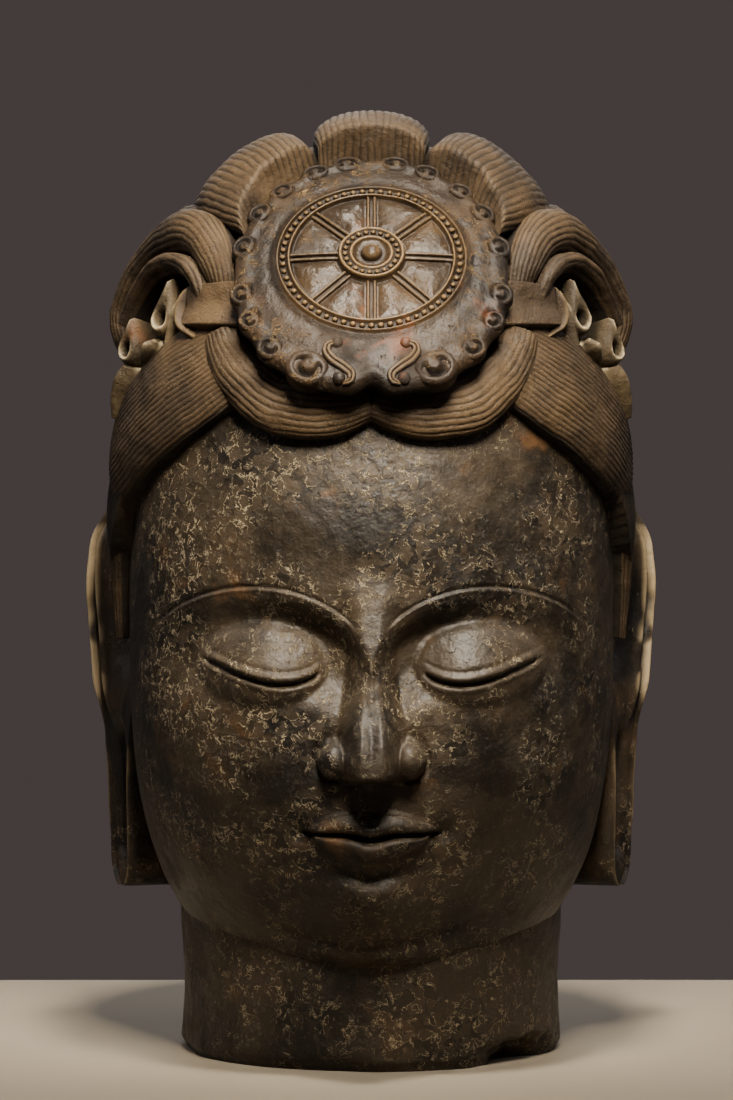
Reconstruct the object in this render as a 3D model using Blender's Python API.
"""A carved stone bodhisattva head with combed hair rolls, a wheel medallion and long ears.

The head stands on the cut of its neck. Its origin is the middle of that cut, +Z is up and the face
looks along -Y. The free forms are drawn in fingers, the carver's unit, forty of which make the height.
"""

import math

import bmesh
import bpy
import numpy as np
from mathutils import Vector

# Driving sizes, in metres
HEIGHT = 0.402  # cut of the neck to the crest of the hair
NECK_WIDTH = 0.165
NECK_DEPTH = 0.168
EAR_LENGTH = 0.157
EAR_WIDTH = 0.046
MEDALLION_WIDTH = 0.115
MEDALLION_THICKNESS = 0.014
WHEEL_DIAMETER = 0.078
SPOKE_WIDTH = 0.0052
FRONT_ROLL_WIDTH = 0.025
TEMPLE_LOBE_WIDTH = 0.033
HOOD_WIDTH = 0.023
BAND_WIDTH = 0.0175
ROSETTE_DIAMETER = 0.027
ROLL_HEIGHT = 0.0095  # how far a roll of hair stands out of the head
CHIP_DEPTH = 0.012  # the stone lost at the foot of the neck

# Angles, in degrees
MEDALLION_LEAN = 36.5  # how far the medallion looks up
EAR_TURN = 35.0  # how far an ear is turned to the front

FINGER = HEIGHT / 40

# The head's egg, in fingers: it is round in plan, fuller above, and drawn out below to the chin
EGG_CENTRE = np.array([0.0, 0.0, 20.0])
EGG_HALF_WIDTH, EGG_FRONT, EGG_BACK = 10.4, 11.3, 12.6
EGG_UP, EGG_DOWN = 18.3, 16.8
EGG_PLAN_POWER, EGG_UPPER_POWER, EGG_LOWER_POWER = 2.25, 2.6, 3.2

# The face's thirds, in fingers: hairline to brow, brow to nose, nose to chin
HAIRLINE_Z, CHIN_Z = 26.1, 5.2
THIRD = (HAIRLINE_Z - CHIN_Z) / 3
BROW_Z = HAIRLINE_Z - THIRD
NOSE_BASE_Z = CHIN_Z + THIRD
FIFTH = EGG_HALF_WIDTH * 2 / 5  # an eye, the space between the eyes and the nose's wings are this wide


def smooth_step(low, high, value):
    """0 below low, 1 above high, and an even rise between them."""
    share = np.clip((value - low) / (high - low), 0, 1)
    return share * share * (3 - 2 * share)


def hill(distance):
    """A soft hill, 1 in the middle and nearly 0 at a distance of 2."""
    return np.exp(-np.square(distance))


def egg_radius(direction):
    """How far the egg reaches from its centre along unit vectors, in fingers."""
    x, y, z = np.abs(direction[..., 0]), direction[..., 1], direction[..., 2]
    depth = np.where(y < 0, EGG_FRONT, EGG_BACK)
    rise = np.where(z > 0, EGG_UP, EGG_DOWN)
    power = np.where(z > 0, EGG_UPPER_POWER, EGG_LOWER_POWER)
    level = (x / EGG_HALF_WIDTH) ** EGG_PLAN_POWER + (np.abs(y) / depth) ** EGG_PLAN_POWER
    return (level ** (power / EGG_PLAN_POWER) + (np.abs(z) / rise) ** power) ** (-1 / power)


def direction_of(azimuth, elevation):
    """Unit vectors. Azimuth 0 looks along -Y, out of the face, and 90 along +X. Both are in degrees."""
    a, e = np.broadcast_arrays(np.radians(azimuth), np.radians(elevation))
    return np.stack([np.sin(a) * np.cos(e), -np.cos(a) * np.cos(e), np.sin(e)], axis=-1)


def egg_point(azimuth, elevation, lift=0.0):
    """A point on the egg, or lifted off it, in fingers."""
    direction = direction_of(azimuth, elevation)
    return EGG_CENTRE + direction * (egg_radius(direction) + lift)[..., None]


def outward(points):
    """The egg's outward normals beside these points, in fingers."""
    offset = points - EGG_CENTRE
    x, y, z = offset[..., 0], offset[..., 1], offset[..., 2]
    depth = np.where(y < 0, EGG_FRONT, EGG_BACK)
    rise = np.where(z > 0, EGG_UP, EGG_DOWN)
    normal = np.stack(
        [
            np.sign(x) * (np.abs(x) / EGG_HALF_WIDTH) ** (EGG_PLAN_POWER - 1) / EGG_HALF_WIDTH,
            np.sign(y) * (np.abs(y) / depth) ** (EGG_PLAN_POWER - 1) / depth,
            np.sign(z) * (np.abs(z) / rise) ** (EGG_UPPER_POWER - 1) / rise,
        ],
        axis=-1,
    )
    return normal / np.linalg.norm(normal, axis=-1, keepdims=True)


def brow_arch(a):
    """Height of the brow over the distance a from the middle of the face."""
    middle, half_span, rise = 1.15 * FIFTH, 1.2 * FIFTH, 3.7
    reach = np.clip((a - middle) / half_span, -1, 1)
    return BROW_Z - rise + 0.45 + rise * np.sqrt(1 - reach * reach)


def lid_line(a):
    """Height of the upper lid's edge, and how far along the eye a is, from 0 at the nose to 1."""
    along = (a - 0.5 * FIFTH) / (1.12 * FIFTH)
    inside = np.clip(along, 0, 1)
    droop = 0.62 * np.sin(np.pi * inside**0.8) * (1 - 0.35 * inside)
    return BROW_Z - 0.38 * THIRD + 0.5 * inside**2 - droop, along


def nose_relief(a, z):
    """A straight ridge from the brows to the tip, with its wings. It ends in a flat underside."""
    heights = [NOSE_BASE_Z, NOSE_BASE_Z + 0.9, NOSE_BASE_Z + 3.0, BROW_Z - 2.2, BROW_Z - 0.4, BROW_Z + 1.2]
    ridge = np.interp(z, heights, [2.35, 2.3, 1.65, 0.95, 0.4, 0.0])
    half_width = np.interp(z, heights, [1.1, 1.15, 0.85, 0.68, 0.85, 1.3])
    under = smooth_step(NOSE_BASE_Z - 0.15, NOSE_BASE_Z + 0.5, z)
    ridge = ridge * under * (1 - smooth_step(0.2 * half_width, 1.75 * half_width, a))
    wing = ((a - 0.36 * FIFTH) / 0.66) ** 2 + ((z - NOSE_BASE_Z - 0.85) / 0.78) ** 2
    return np.maximum(ridge, 1.15 * np.sqrt(np.clip(1 - wing, 0, 1)))


def mouth_lines(a):
    """Height of the mouth's line and of the two lips over the distance a from the middle of the face."""
    half_width = 0.68 * FIFTH
    line = NOSE_BASE_Z - THIRD * 0.34 - 0.1 * hill(a / 0.45) + 0.08 * hill((a - 1.1) / 0.7)
    line = line + 0.2 * np.minimum(a / half_width, 1.4) ** 2
    inside = np.clip(1 - (a / half_width) ** 2, 0, 1)
    upper = 0.95 * inside**0.75 - 0.16 * hill(a / 0.28) * inside + 1e-6
    lower = 1.05 * np.clip(1 - (a / (0.84 * half_width)) ** 2, 0, 1) ** 0.7 + 1e-6
    return line, upper, lower


def mouth_relief(a, z):
    """Full lips, a calm mouth line, the groove over them and the dip below."""
    half_width = 0.68 * FIFTH
    line, upper, lower = mouth_lines(a)
    inside = np.clip(1 - (a / half_width) ** 2, 0, 1)
    over, under = (z - line) / upper, (line - z) / lower
    lips = 0.5 * np.sin(np.pi * np.clip(over, 0, 1) ** 0.75) ** 0.7 * inside**0.6
    lips = lips + 0.6 * np.sin(np.pi * np.clip(under, 0, 1) ** 0.8) ** 0.7 * inside**0.6
    slit = -0.3 * hill((z - line) / 0.12) * smooth_step(0.0, 0.15, inside)
    corner = -0.3 * hill(np.hypot(a - half_width, z - line) / 0.6)
    mound = 0.5 * hill(a / 3.2) * hill((z - line) / 2.4)
    channel = -0.16 * hill(a / 0.4) * smooth_step(0, 0.3, z - line - upper)
    channel = channel * (1 - smooth_step(-0.5, 0.2, z - NOSE_BASE_Z))
    dip = -0.4 * hill(a / 1.7) * hill((z - line + 1.55) / 0.5)
    return lips + slit + corner + mound + channel + dip


def eye_relief(a, z):
    """The hollow under the brow, the lowered lid over the eyeball, and the slit below its edge."""
    below_brow = brow_arch(a) - z
    hollow = smooth_step(-0.1, 1.2, below_brow) * (1 - smooth_step(1.9, 4.4, below_brow))
    hollow = hollow * (0.85 * hill((a - 2.0) / 2.1) + 0.45 * hill((a - 5.6) / 3.0))
    hollow = hollow * (1 - smooth_step(7.6, 9.4, a))
    edge, along = lid_line(a)
    middle_z = BROW_Z - 0.34 * THIRD
    ball = ((a - 1.06 * FIFTH) / (0.66 * FIFTH)) ** 2 + ((z - middle_z) / 1.75) ** 2
    bulge = 0.95 * np.clip(1 - ball, 0, 1) ** 0.75
    below = edge - z
    inside = smooth_step(-0.02, 0.1, along) * (1 - smooth_step(0.9, 1.03, along))
    bulge = bulge * (1 - 0.2 * smooth_step(0, 0.3, below) * inside)
    slit = -0.3 * hill((below - 0.1) / 0.13) * inside
    return bulge + slit - hollow


def face_relief(x, z):
    """How far the face stands out of the egg, in fingers, over its width and height."""
    a = np.abs(x)
    chin = 1.05 * hill(a / 2.2) * hill((z - CHIN_Z - 1.9) / 1.6)
    crease_z = CHIN_Z + 0.1 + 0.055 * a * a
    crease = -0.25 * hill((z - crease_z) / 0.24) * (1 - smooth_step(3.2, 4.8, a))
    throat = 1.5 * hill((z - CHIN_Z + 0.9) / 1.2) * hill(a / 4.5)
    cheek = 0.4 * hill((a - 5.0) / 2.6) * hill((z - NOSE_BASE_Z - 0.6) / 2.9)
    forehead = 0.25 * hill(a / 5.0) * hill((z - BROW_Z - 3.4) / 2.6)
    return nose_relief(a, z) + mouth_relief(a, z) + eye_relief(a, z) + chin + crease + throat + cheek + forehead


def face_lines(azimuth):
    """Heights of the lines that the face's points follow, from the foot over the lips and lids to the top."""
    a = np.abs(11.0 * np.sin(np.radians(azimuth)))
    crease = CHIN_Z + 0.1 + 0.055 * np.minimum(a, 5) ** 2
    mouth, upper, lower = mouth_lines(a)
    mouth = mouth + (NOSE_BASE_Z - THIRD * 0.34 - mouth) * smooth_step(4.5, 9.5, a)
    least = 0.2 + 0.5 * smooth_step(2.5, 5.0, a)
    lids = lid_line(a)[0]
    brow = np.maximum(brow_arch(a), lids + 1.6)
    level = np.ones_like(a)
    lips = [mouth - np.maximum(lower, least), mouth, mouth + np.maximum(upper, least)]
    return np.stack([3.4 * level, crease, *lips, NOSE_BASE_Z * level, lids, brow, 24.0 * level])


def head_surface(azimuth, z):
    """The egg with its face, in fingers."""
    turn = np.radians(azimuth)
    across, ahead = np.sin(turn), -np.cos(turn)
    depth = np.where(ahead < 0, EGG_FRONT, EGG_BACK)
    plan = (np.abs(across / EGG_HALF_WIDTH) ** EGG_PLAN_POWER + np.abs(ahead / depth) ** EGG_PLAN_POWER) ** (
        -1 / EGG_PLAN_POWER
    )
    rise = np.where(z > EGG_CENTRE[2], EGG_UP, EGG_DOWN)
    power = np.where(z > EGG_CENTRE[2], EGG_UPPER_POWER, EGG_LOWER_POWER)
    share = np.clip(1 - (np.abs(z - EGG_CENTRE[2]) / rise) ** power, 0, 1) ** (1 / power)
    x, y = plan * share * across, plan * share * ahead
    facing = smooth_step(0.05, 0.45, -ahead)
    tip = hill(x / 1.5) * hill((z - NOSE_BASE_Z - 0.7) / 0.75)
    return np.stack([x, y - face_relief(x, z) * facing, z - 0.3 * tip * facing], axis=-1)


def hair_surface(azimuth, elevation):
    """The plain hair that the rolls lie on, with a hollow under each side hood, in fingers."""
    side = np.abs(azimuth)
    lift = 0.5 + 0.65 * hill((side - 100) / 38) * hill((elevation - 12) / 22)
    lift = lift - 1.0 * hill((side - 56) / 9) * hill((elevation - 49) / 6)
    return egg_point(azimuth, elevation, lift)


def hair_edge(azimuth):
    """Elevation of the hair's lower edge: over the forehead, before the ear, and low at the nape."""
    side = np.abs(azimuth)
    return np.interp(side, [0, 32, 50, 66, 80, 100, 115, 130, 150, 180], [32, 31, 27, 18, 2, -14, -25, -32, -36, -37.5])


def smooth_path(points, count):
    """Points along a smooth curve through the given ones, by Catmull and Rom's rule."""
    points = np.asarray(points, float)
    ends = [2 * points[0] - points[1], *points, 2 * points[-1] - points[-2]]
    found = []
    for t in np.linspace(0, len(points) - 1, count):
        i = min(int(t), len(points) - 2)
        p0, p1, p2, p3 = (ends[i + k] for k in range(4))
        u = t - i
        found.append(
            0.5 * (2 * p1 + (p2 - p0) * u + (2 * p0 - 5 * p1 + 4 * p2 - p3) * u**2 + (3 * p1 - p0 - 3 * p2 + p3) * u**3)
        )
    return np.array(found)


def spread(values, count):
    """A few values spread evenly over count stations."""
    return np.interp(np.linspace(0, 1, count), np.linspace(0, 1, len(values)), values)


def solid_from_rings(name, rings, material):
    """A closed solid through rings of points in metres, each ring closed and both ends capped."""
    mesh = bpy.data.meshes.new(name)
    form = bmesh.new()
    rows = [[form.verts.new(p) for p in ring] for ring in rings]
    count = len(rows[0])
    for lower, upper in zip(rows, rows[1:]):
        for i in range(count):
            j = (i + 1) % count
            form.faces.new((lower[i], lower[j], upper[j], upper[i]))
    for row in (rows[0], rows[-1]):
        hub = form.verts.new(sum((v.co for v in row), Vector()) / count)
        for i in range(count):
            form.faces.new((row[i], row[(i + 1) % count], hub))
    bmesh.ops.recalc_face_normals(form, faces=form.faces)
    form.to_mesh(mesh)
    form.free()
    mesh.materials.append(material)
    solid = bpy.data.objects.new(name, mesh)
    bpy.context.scene.collection.objects.link(solid)
    return solid


def roll_of_hair(name, path, widths, heights, material, stations=11, across=5, sink=1.3):
    """A rounded roll along a path in fingers, lying on the egg. Widths and heights are in metres."""
    line = smooth_path(path, stations)
    up = outward(line)
    along = np.gradient(line, axis=0)
    side = np.cross(along, up)
    side /= np.linalg.norm(side, axis=1, keepdims=True)
    half = spread(widths, stations) / 2
    rise = spread(heights, stations)
    rings = []
    for p, s, n, w, h in zip(line, side, up, half, rise):
        turn = np.linspace(0, math.pi, across + 1)
        top = [p * FINGER + s * w * math.cos(t) + n * h * math.sin(t) ** 0.8 for t in turn]
        foot = [p * FINGER - s * w * 0.8 - n * sink * FINGER, p * FINGER + s * w * 0.8 - n * sink * FINGER]
        rings.append(top + foot)
    return solid_from_rings(name, rings, material)


def mirrored(path, side):
    """A path drawn on the +X side, put on the side asked for."""
    return np.asarray(path, float) * np.array([side, 1, 1])


def egg_solid(name, surface, azimuths, lowest, highest, rows, material):
    """A closed solid whose skin is surface(azimuth, elevation) between two elevations."""
    rings = []
    for share in np.linspace(0, 1, rows):
        elevations = lowest + (highest - lowest) * share
        rings.append(surface(azimuths, elevations) * FINGER)
    return solid_from_rings(name, rings, material)


def head_and_face(material):
    """The egg with the face. The rows of points follow the face's lines, and stand closest at the lids and lips."""
    front = [0, 1.8, 3.6, 5.2, 7, 9, 11.5, 14.5, 18, 22, 26, 30.5, 35.5, 41, 48, 60, 77]
    azimuths = np.array([-v for v in front[:0:-1]] + front + list(np.linspace(96, 264, 8)))
    stations = [0.1, 0.3, 0.5, 0.75, 0.92, 1.0, 1.15, 1.45, 1.75, 2.0, 2.3, 2.7, 2.9, 3.0, 3.12, 3.4, 3.75, 4.0]
    stations += [4.3, 4.65, 4.92, 5.08, 5.25, 5.5, 5.75, 5.9, 5.97, 6.03, 6.2, 6.45, 6.75, 7.0, 7.2, 7.6, 8.0]
    lines = face_lines(azimuths)
    rings = []
    for station in stations:
        lower = min(int(station), len(lines) - 2)
        z = lines[lower] + (lines[lower + 1] - lines[lower]) * (station - lower)
        rings.append(head_surface(azimuths, z) * FINGER)
    for z in (29.0, 33.0):
        rings.append(head_surface(azimuths, np.full_like(azimuths, z)) * FINGER)
    return solid_from_rings("head_egg", rings, material)


def plain_hair(material):
    """The hair's ground, from its lower edge to the crown."""
    azimuths = np.linspace(-180, 180, 33)[:-1]
    return egg_solid("plain_hair", hair_surface, azimuths, hair_edge(azimuths), 86.0, 13, material)


def neck(material):
    """A short neck, nearly upright, broken off level. Its foot has lost a piece on the +X side."""
    half_width, half_depth = NECK_WIDTH / 2, NECK_DEPTH / 2
    azimuths = np.linspace(0, 360, 31)[:-1]
    foot_round, chip_azimuth, chip_span, chip_rise = 0.003, 52.0, 13.0, 0.011
    rings = []
    for z in [0.0, 0.0035, 0.009, 0.014, 0.035, 0.07, 0.11]:
        a = np.radians(azimuths)
        lost = CHIP_DEPTH * hill((azimuths - chip_azimuth) / chip_span) * (1 - smooth_step(0, chip_rise, z))
        worn = foot_round * (1 - smooth_step(0, 0.006, z))
        waist = 0.0015 * math.sin(math.pi * min(z / 0.06, 1.0))
        inset = 1 - (lost + worn + waist) / half_width
        ring = np.stack([half_width * inset * np.sin(a), -half_depth * inset * np.cos(a), np.full_like(a, z)], -1)
        rings.append(ring)
    return solid_from_rings("neck", rings, material)


def ear_relief(s, q):
    """Height of an ear's carving. s is the share of its length from the top, q runs from -1 in front to 1."""
    rim = 0.5 * hill((np.hypot(q / 0.92, np.minimum(s - 0.24, 0) / 0.23) - 0.86) / 0.16)
    rim = rim * (1 - smooth_step(0.5, 0.66, s)) * smooth_step(-1.2, -0.75, q + 1.6 * (0.42 - s))
    groove = -0.3 * hill((np.hypot(q, np.minimum(s - 0.26, 0) / 0.2) - 0.55) / 0.14) * (1 - smooth_step(0.4, 0.52, s))
    fold = 0.25 * hill((q - 0.15) / 0.2) * hill((s - 0.33) / 0.13)
    bowl = -0.9 * hill((q + 0.25) / 0.42) * hill((s - 0.42) / 0.1)
    slot = -0.6 * hill((q - 0.1) / 0.3) * smooth_step(0.6, 0.68, s) * (1 - smooth_step(0.88, 0.94, s))
    return rim + groove + fold + bowl + slot


def ear(side, material):
    """A long ear, a relief on a slab that is turned a little to the front. Its foot joins the jaw."""
    length, half_width = EAR_LENGTH, EAR_WIDTH / 2
    turn = math.radians(EAR_TURN)
    face = np.array([math.cos(turn), -math.sin(turn), 0.0])
    across = np.array([math.sin(turn), math.cos(turn), 0.0])
    top, foot = np.array([11.4, 1.3, 22.4]), np.array([10.6, 0.3, 22.4])
    rings = []
    for s in (0, 0.02, 0.06, 0.13, 0.22, 0.31, 0.4, 0.5, 0.6, 0.68, 0.78, 0.87, 0.93, 0.97, 1.0):
        tip = math.sqrt(max(1 - ((0.16 - s) / 0.165) ** 2, 0.0)) if s < 0.16 else 1.0
        end = math.sqrt(max(1 - ((s - 0.93) / 0.075) ** 2, 0.0)) if s > 0.93 else 1.0
        width = half_width * float(np.interp(s, [0, 0.25, 0.5, 0.7, 1], [1, 1, 0.78, 0.55, 0.5]))
        width *= max(tip, 0.12) * max(end, 0.35)
        centre = (top + (foot - top) * s) * FINGER - np.array([0, 0, length * s])
        q = np.linspace(-1, 1, 8)
        relief = ear_relief(s, q) * FINGER * EAR_WIDTH / 0.046
        skin = [centre + across * width * b + face * (h + 0.001) for b, h in zip(q, relief)]
        sink = 0.024 + 0.006 * s
        back = [centre + across * width * b - face * sink for b in (0.8, -0.8)]
        rings.append([Vector((p[0] * side, p[1], p[2])) for p in skin + back])
    return solid_from_rings(f"ear_{'right' if side > 0 else 'left'}", rings, material)


def medallion_frame():
    """The medallion's centre in metres, its right, its up and the way it looks."""
    lean = math.radians(MEDALLION_LEAN)
    centre = np.array([0.0, -9.75, 33.15]) * FINGER
    return centre, np.array([1.0, 0, 0]), np.array([0, math.sin(lean), math.cos(lean)]), np.array(
        [0, -math.cos(lean), math.sin(lean)]
    )


def on_medallion(u, v, height):
    """A point of the medallion from its own right, up and height over its plane, in metres."""
    centre, right, up, out = medallion_frame()
    return centre + right * u + up * v + out * height


def medallion_outline(angle):
    """Radius of the rim, in metres. Angle 0 is its top. Eighteen curls and two low lobes shape it."""
    half = MEDALLION_WIDTH / 2
    low = smooth_step(80, 165, np.abs(angle))
    scallop = 0.0011 * np.abs(np.cos(np.radians((np.abs(angle) - 8) * 180 / 18.3)))
    scallop = scallop * (1 - smooth_step(158, 164, np.abs(angle)))
    notch = -0.007 * hill((180 - np.abs(angle)) / 6)
    return half * (0.97 + 0.2 * low) + scallop + notch


def wheel_height(r):
    """Height of the medallion's face over its plane at the radius r, in metres, with the wheel's rings."""
    wheel = WHEEL_DIAMETER / 2
    ground = 0.0025 * (1 - (r / (MEDALLION_WIDTH / 2)) ** 2)
    rings = 0.0022 * hill((r - wheel) / 0.0013) + 0.0018 * hill((r - 0.86 * wheel) / 0.0012)
    hub = 0.0045 * (1 - smooth_step(0.31 * wheel, 0.37 * wheel, r))
    return ground + rings + hub + 0.004 * hill(r / (0.1 * wheel)) - 0.0015 * (r < 0.86 * wheel)


def medallion(material):
    """The disc with the wheel's two rings and its hub. Its rim falls back to the hair."""
    wheel = WHEEL_DIAMETER / 2
    angles = np.linspace(-180, 180, 43)[:-1]
    inner = [0.12, 0.31, 0.38, 0.79, 0.86, 0.93, 1.0, 1.07]
    rings = []
    for share in inner:
        r = share * wheel
        a = np.radians(angles)
        rings.append([on_medallion(r * math.sin(t), r * math.cos(t), wheel_height(r)) for t in a])
    outline = medallion_outline(angles)
    for reach, drop in [(0.8, 0.0), (0.93, 0.0012), (1.0, 0.0045), (0.99, MEDALLION_THICKNESS), (0.7, 0.032)]:
        ring = []
        for t, edge in zip(np.radians(angles), outline):
            r = edge * reach
            ring.append(on_medallion(r * math.sin(t), r * math.cos(t), 0.0008 - drop))
        rings.append(ring)
    return solid_from_rings("medallion", rings, material)


def spokes(material):
    """The wheel's eight spokes, as low bars from the hub to the inner ring."""
    wheel = WHEEL_DIAMETER / 2
    bars = []
    for i in range(8):
        t = math.radians(45 * i)
        along, across = np.array([math.sin(t), math.cos(t)]), np.array([math.cos(t), -math.sin(t)])
        rings = []
        for r in (0.3 * wheel, 0.88 * wheel):
            ring = []
            for b, h in ((-0.5, -0.004), (-0.5, 0.0016), (-0.22, 0.0027), (0, 0.0017), (0.22, 0.0027), (0.5, 0.0016), (0.5, -0.004)):
                u, v = along * r + across * b * SPOKE_WIDTH
                ring.append(on_medallion(u, v, h))
            rings.append(ring)
        bars.append(solid_from_rings(f"spoke_{i}", rings, material))
    return bars


def rim_curls(material):
    """The curls round the rim, as low domes."""
    curls = []
    for side in (-1, 1):
        for i in range(9):
            angle = side * (8 + 18.3 * i)
            edge = float(medallion_outline(np.array(angle))) - 0.005
            t = math.radians(angle)
            rings = []
            for radius, height in ((0.0048, -0.006), (0.0033, 0.0020)):
                rings.append(
                    [
                        on_medallion(
                            edge * math.sin(t) + radius * math.cos(k * math.tau / 6),
                            edge * math.cos(t) + radius * math.sin(k * math.tau / 6),
                            height,
                        )
                        for k in range(6)
                    ]
                )
            curls.append(solid_from_rings(f"curl_{side}_{i}", rings, material))
    return curls


def front_rolls(side, material):
    """The roll over the forehead, from the parting out and up to the band."""
    path = egg_point([0.3, 6, 13, 20.5, 27.5, 31.5, 33], [32.8, 31.8, 31.4, 33, 37.6, 42.5, 46], 0.3)
    width = FRONT_ROLL_WIDTH
    widths = [width * 0.6, width * 0.9, width, width * 0.95, width * 0.85, width * 0.75]
    return roll_of_hair(f"front_roll_{side}", mirrored(path, side), widths, [ROLL_HEIGHT * 0.8, ROLL_HEIGHT], material)


def temple_lobe(side, material):
    """The lobe beside it, down the hairline to the temple and back over the ear."""
    path = egg_point(
        [34, 40, 47.5, 56, 65.5, 76, 86, 96, 106], [38, 34.4, 30.6, 27, 24.8, 24.6, 26.6, 29.6, 32.6], 0.25
    )
    width = TEMPLE_LOBE_WIDTH
    widths = [width * 0.85, width, width, width, width * 0.95, width * 0.85, width * 0.7]
    return roll_of_hair(f"temple_lobe_{side}", mirrored(path, side), widths, [ROLL_HEIGHT * 0.7, ROLL_HEIGHT * 0.9, ROLL_HEIGHT * 0.5], material, 12)


def side_hood(side, material):
    """The thick roll that arches from the medallion over the side hollow and down."""
    path = [
        (5.5, -9.2, 31.9), (6.1, -8.3, 33.3), (7.1, -6.5, 34.3), (8.2, -4.0, 34.3), (9.1, -1.8, 33.3),
        (9.7, -0.8, 31.9), (10.0, -0.7, 30.4), (10.1, -1.2, 29.2),
    ]
    width = HOOD_WIDTH
    widths = [width * 0.6, width, width * 1.1, width, width * 0.85, width * 0.6]
    return roll_of_hair(f"side_hood_{side}", mirrored(path, side), widths, [ROLL_HEIGHT * 0.7, ROLL_HEIGHT * 1.25, ROLL_HEIGHT * 0.9], material, 12, sink=1.6)


def inner_arch(side, material):
    """The slimmer roll inside the hood."""
    path = [(5.9, -8.9, 31.8), (6.6, -7.9, 33.0), (7.6, -6.4, 33.5), (9.0, -4.3, 33.0), (9.9, -3.0, 31.8), (10.35, -2.5, 30.2)]
    return roll_of_hair(f"inner_arch_{side}", mirrored(path, side), [0.008, 0.0095, 0.008], [0.007, 0.0105, 0.008], material, 9, 3)


def crown_puffs(material):
    """Three thick strands from behind the medallion over the crown to the knot of hair."""
    middle = [(0, -7.6, 36.9), (0, -5.4, 38.0), (0, -2.2, 38.55), (0, 1.5, 38.3), (0, 4.8, 37.2), (0, 7.6, 35.4)]
    outer = [(3.0, -8.5, 35.1), (4.2, -6.5, 36.1), (5.1, -3.4, 36.7), (5.4, 0.2, 36.4), (4.6, 4.0, 36.0), (2.8, 7.2, 35.1)]
    heights = [0.009, 0.0145, 0.0150, 0.013, 0.009]
    puffs = [roll_of_hair("crown_puff_middle", middle, [0.044, 0.05, 0.048, 0.03], heights, material, 10, 6)]
    for side in (-1, 1):
        puffs.append(
            roll_of_hair(f"crown_puff_{side}", mirrored(outer, side), [0.046, 0.056, 0.052, 0.03], heights, material, 10, 6)
        )
        back = [(7.4, -4.4, 34.6), (8.4, -1.2, 34.2), (8.1, 2.4, 34.0), (6.3, 5.9, 34.1), (3.4, 8.5, 33.9)]
        puffs.append(roll_of_hair(f"side_puff_{side}", mirrored(back, side), [0.03, 0.05, 0.04], [0.006, 0.01, 0.008], material, 8))
    return puffs


def hair_knot(material):
    """The low knot of hair at the back of the crown."""
    centre, radius = np.array([0, 7.6, 36.0]), 3.3
    rings = []
    for elevation in np.linspace(-80, 80, 9):
        directions = direction_of(np.linspace(0, 360, 17)[:-1], elevation)
        rings.append((centre + directions * radius * np.array([1.1, 1.0, 0.85])) * FINGER)
    return solid_from_rings("hair_knot", rings, material)


def band(material):
    """The plain band round the head, behind the medallion."""
    azimuths = np.array([0, 14, 29, 41, 55, 72, 90, 110, 135, 160, 180])
    elevations = np.array([45, 45.5, 46, 46.5, 46.8, 46.5, 45, 42.5, 39.5, 37.4, 37])
    half = egg_point(azimuths, elevations, 0.45)[1:]
    path = np.concatenate([half, half[-2::-1] * np.array([-1, 1, 1])])
    return roll_of_hair("band", path, [BAND_WIDTH], [0.0052], material, 27, 2, sink=1.0)


def rosette(side, material):
    """The pointed flower at the end of the band's front panel."""
    centre = mirrored([8.75, -6.55, 31.3], side)
    out = outward(centre)
    out = out / np.linalg.norm(out)
    right = np.cross([0, 0, 1.0], out)
    right /= np.linalg.norm(right)
    up = np.cross(out, right)
    radius = ROSETTE_DIAMETER / 2
    rings = []
    for share, height in ((0.9, -0.008), (1.0, 0.0045), (0.55, 0.0055), (0.3, 0.0045), (0.16, 0.008)):
        ring = []
        for k in range(20):
            t = math.tau * k / 20
            petal = 0.72 + 0.28 * abs(math.cos(2.5 * t)) if share > 0.5 else 1.0
            r = radius * share * petal
            ring.append(centre * FINGER + right * r * math.sin(t) + up * r * math.cos(t) + out * height)
        rings.append(ring)
    return solid_from_rings(f"rosette_{side}", rings, material)


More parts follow.
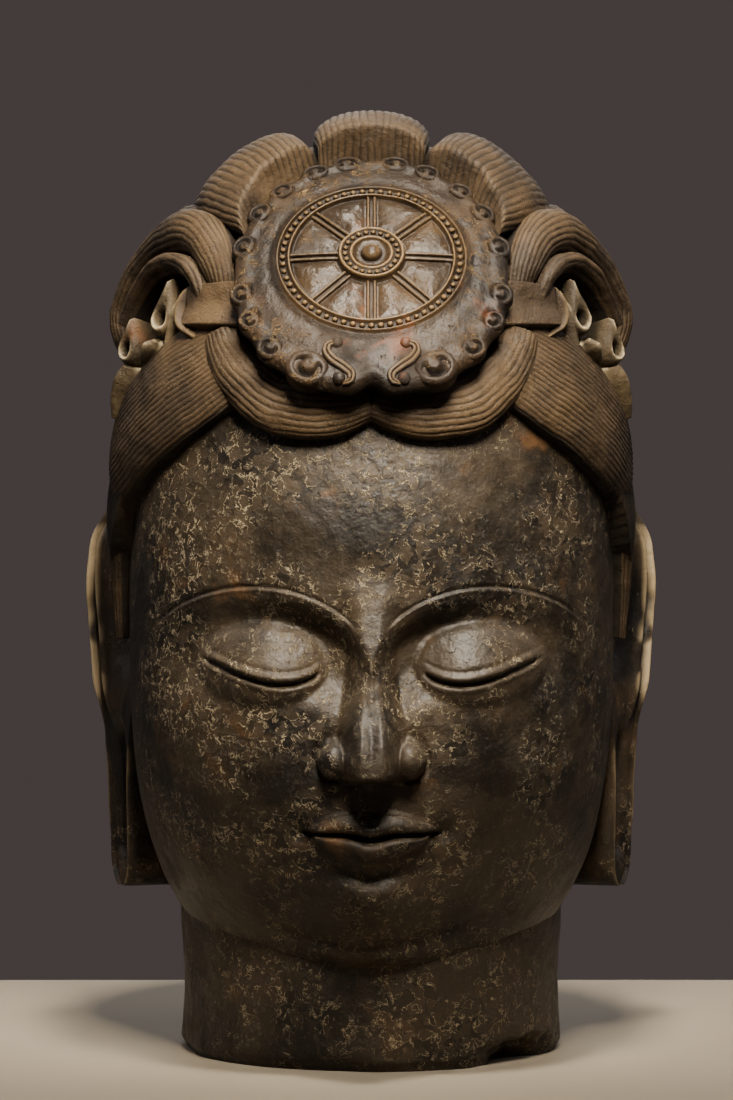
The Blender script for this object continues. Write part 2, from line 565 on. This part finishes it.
def ribbon_knot(side, material):
    """The knot of the band's ribbon, and its tail that falls towards the ear."""
    knot = egg_point([60, 65, 70, 75], [46.5, 44.5, 41, 37.5], 0.4)
    tail = egg_point([74, 79, 84, 88], [39, 35.5, 31, 26], 0.75)
    return [
        roll_of_hair(f"ribbon_knot_{side}", mirrored(knot, side), [0.004, 0.0125, 0.011, 0.004], [0.004, 0.011, 0.010, 0.004], material, 6, 3),
        roll_of_hair(f"ribbon_tail_{side}", mirrored(tail, side), [0.006, 0.008, 0.011], [0.006, 0.0075, 0.006], material, 4, 3),
    ]


def ear_strand(side, material):
    """The strand of hair that crosses the top of the ear."""
    path = [(10.2, -2.8, 24.6), (10.6, -1.4, 23.6), (11.0, -0.2, 22.3), (11.1, 0.9, 20.8)]
    return roll_of_hair(f"ear_strand_{side}", mirrored(path, side), [0.008, 0.011, 0.010, 0.004], [0.006, 0.009, 0.008, 0.003], material, 6, 3)


def stone():
    """Dark, waxed limestone."""
    material = bpy.data.materials.new("waxed limestone")
    material.use_nodes = True
    shader = material.node_tree.nodes["Principled BSDF"]
    shader.inputs["Base Color"].default_value = (0.072, 0.047, 0.032, 1)
    shader.inputs["Roughness"].default_value = 0.45
    shader.inputs["Metallic"].default_value = 0.0
    return material


def joined(solids, name):
    """One body: the first solid with a Boolean union of all the others, which become hidden guides."""
    body, others = solids[0], solids[1:]
    body.name = name
    guides = bpy.data.collections.new("forms of the head")
    bpy.context.scene.collection.children.link(guides)
    for form in others:
        bpy.context.scene.collection.objects.unlink(form)
        guides.objects.link(form)
        form.hide_render = True
        form.display_type = "WIRE"
    union = body.modifiers.new("union of the forms", "BOOLEAN")
    union.operation = "UNION"
    union.operand_type = "COLLECTION"
    union.collection = guides
    union.solver = "EXACT"
    return body


def main():
    for old in list(bpy.data.objects):
        bpy.data.objects.remove(old)
    material = stone()
    solids = [head_and_face(material), plain_hair(material), neck(material), medallion(material)]
    solids += spokes(material) + rim_curls(material) + crown_puffs(material)
    solids += [hair_knot(material), band(material)]
    for side in (-1, 1):
        for form in (front_rolls, temple_lobe, side_hood, inner_arch, rosette, ear, ear_strand):
            solids.append(form(side, material))
        solids += ribbon_knot(side, material)
    head = joined(solids, "bodhisattva_head")
    head.data.shade_smooth()
    head.data.set_sharp_from_angle(angle=math.radians(35))


main()
